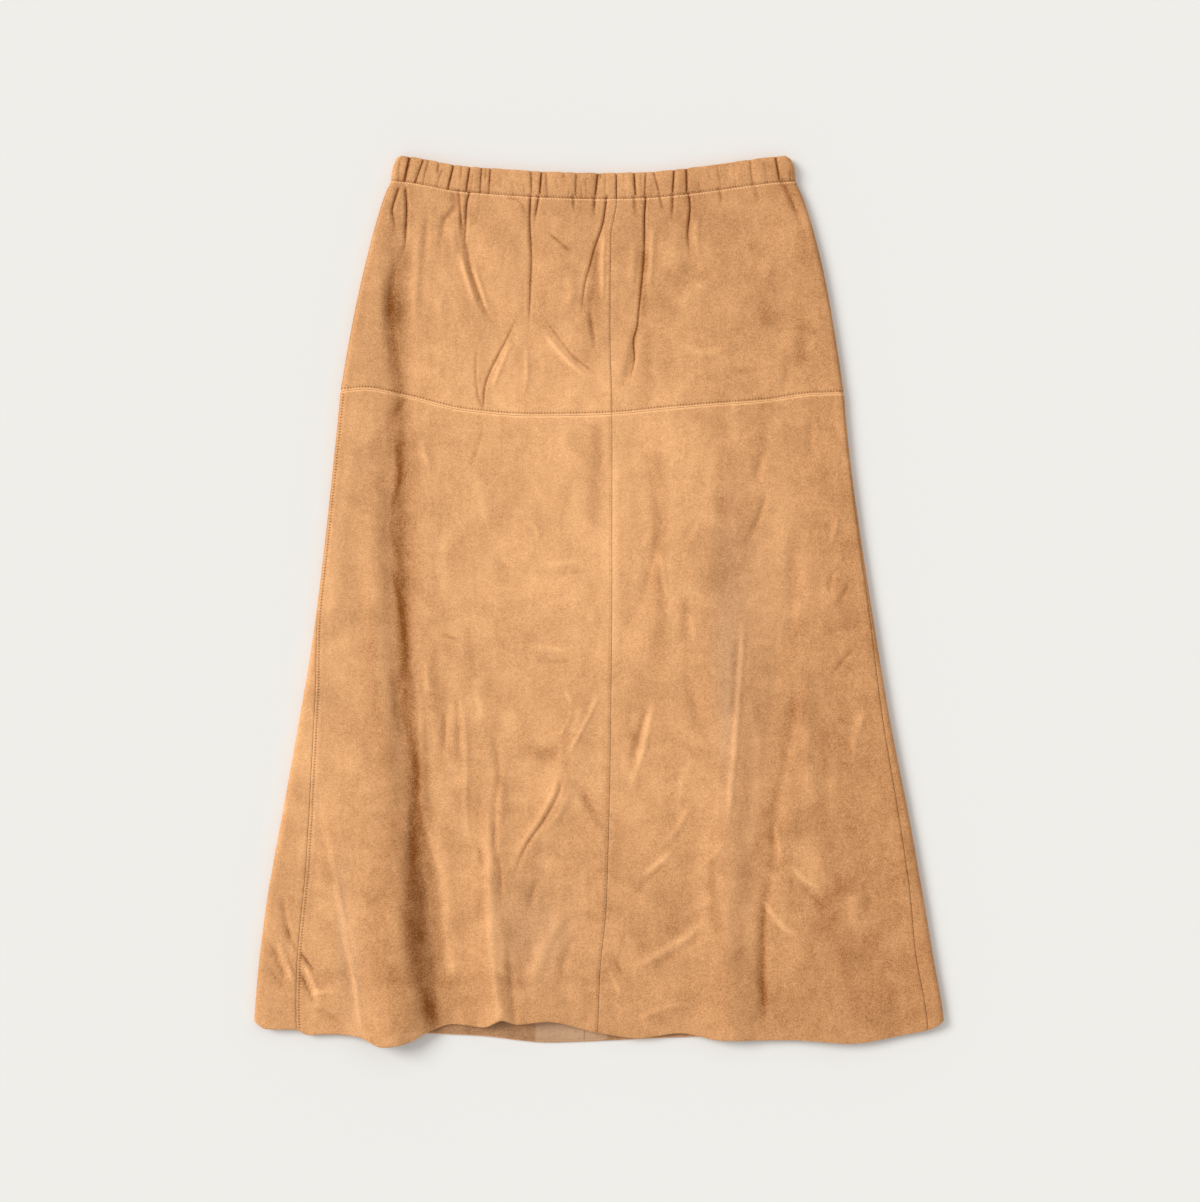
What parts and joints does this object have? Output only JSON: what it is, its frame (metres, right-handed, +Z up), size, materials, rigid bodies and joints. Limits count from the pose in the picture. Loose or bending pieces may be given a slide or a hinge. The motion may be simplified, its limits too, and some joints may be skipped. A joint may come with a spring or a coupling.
{
  "type": "a-line suede midi skirt",
  "caption": "Pull-on a-line midi skirt in suede with an elasticated waist, hip yoke, panelled lower part and turned-up hem, laid flat with its front uppermost.",
  "frame": {"origin": "on the surface that the skirt lies on, under the middle of its box", "axes": "+X across the skirt, to the right as its front is seen; +Y from the hem to the waist; +Z up, out of the front"},
  "size_m": [0.6208, 0.7987, 0.0207],
  "materials": {
    "suede": "camel suede, matt, with a soft nap that brushes lighter and darker",
    "elastic": "woven cream elastic, matt",
    "thread": "sewing thread that matches the suede"
  },
  "bodies": {
    "root": {"waistband_front_left": "suede", "waistband_front_right": "suede", "waistband_back": "suede", "elastic": "elastic", "yoke_front_left": "suede", "yoke_front_right": "suede", "yoke_back": "suede", "skirt_front_left": "suede", "skirt_front_right": "suede", "skirt_back_left": "suede", "skirt_back_right": "suede"}
  },
  "joints": []
}
